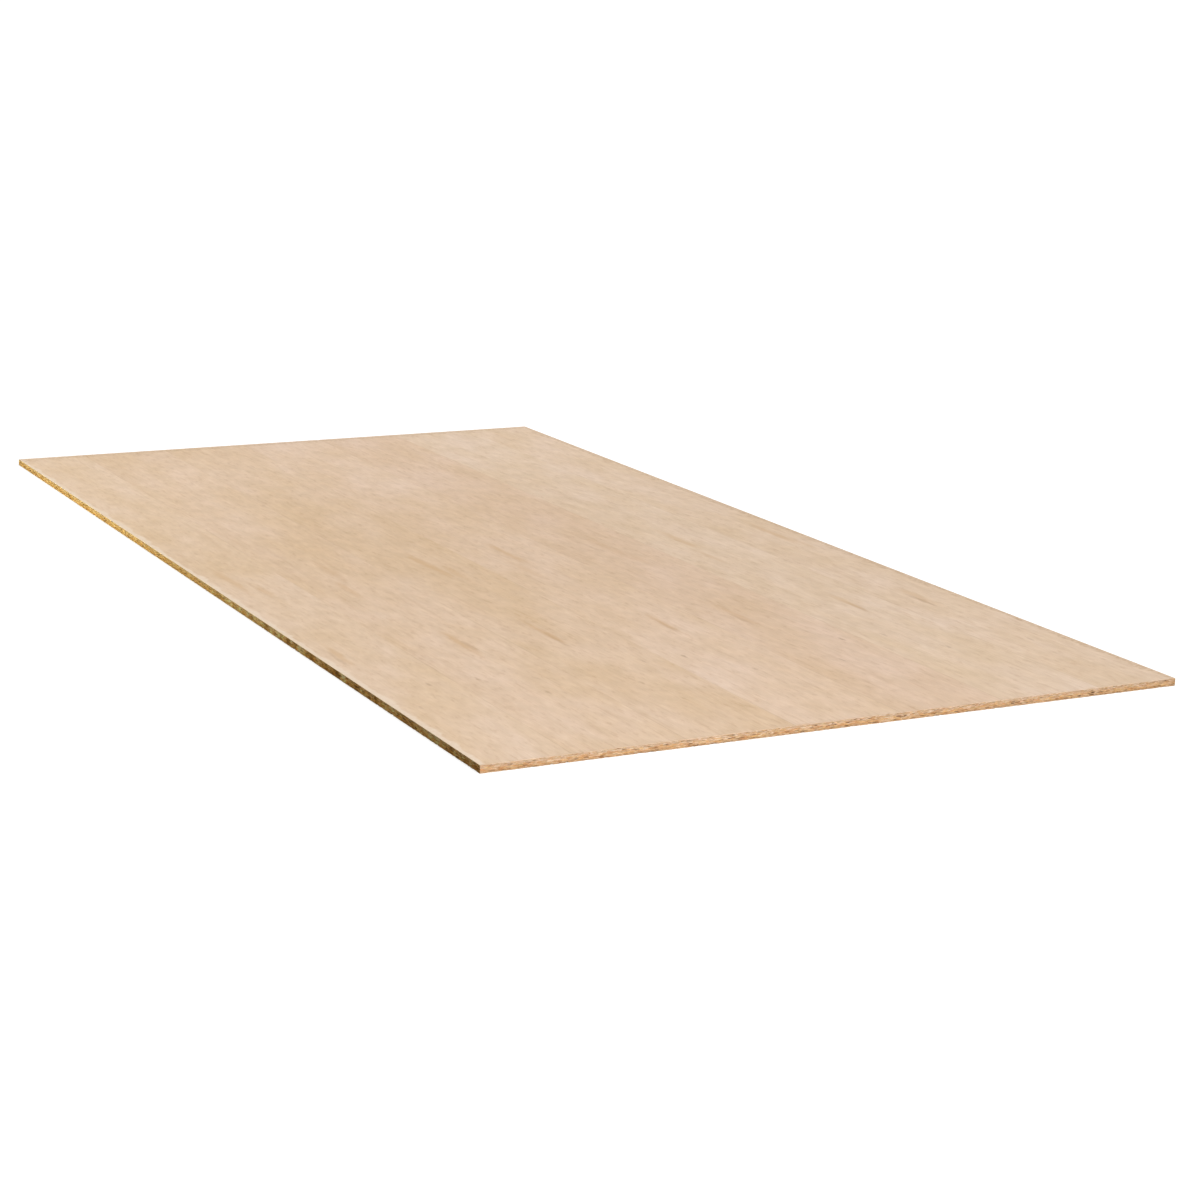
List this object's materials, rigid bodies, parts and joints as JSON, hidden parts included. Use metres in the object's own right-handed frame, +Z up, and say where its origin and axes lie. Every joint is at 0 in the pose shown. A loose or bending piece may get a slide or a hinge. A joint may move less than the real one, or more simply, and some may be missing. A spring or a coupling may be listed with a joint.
{
  "type": "wood veneer sheet",
  "caption": "Flat rectangular building board: book-matched wood veneer leaves on a particleboard core, balanced by a back veneer, with square-sawn bare edges.",
  "frame": {"origin": "centre of the underside, on the surface that the sheet rests on", "axes": "+Z up through the thickness to the good face, +Y along the length and the grain, +X across the width"},
  "size_m": [1.2192, 2.4384, 0.0127],
  "materials": {
    "face_veneer": "satin",
    "particle_core": "matte",
    "back_veneer": "matte"
  },
  "bodies": {
    "root": {"face_leaf_1": "face_veneer", "face_leaf_2": "face_veneer", "face_leaf_3": "face_veneer", "face_leaf_4": "face_veneer", "face_leaf_5": "face_veneer", "face_leaf_6": "face_veneer", "face_leaf_7": "face_veneer", "particle_core": "particle_core", "back_veneer": "back_veneer"}
  },
  "joints": []
}
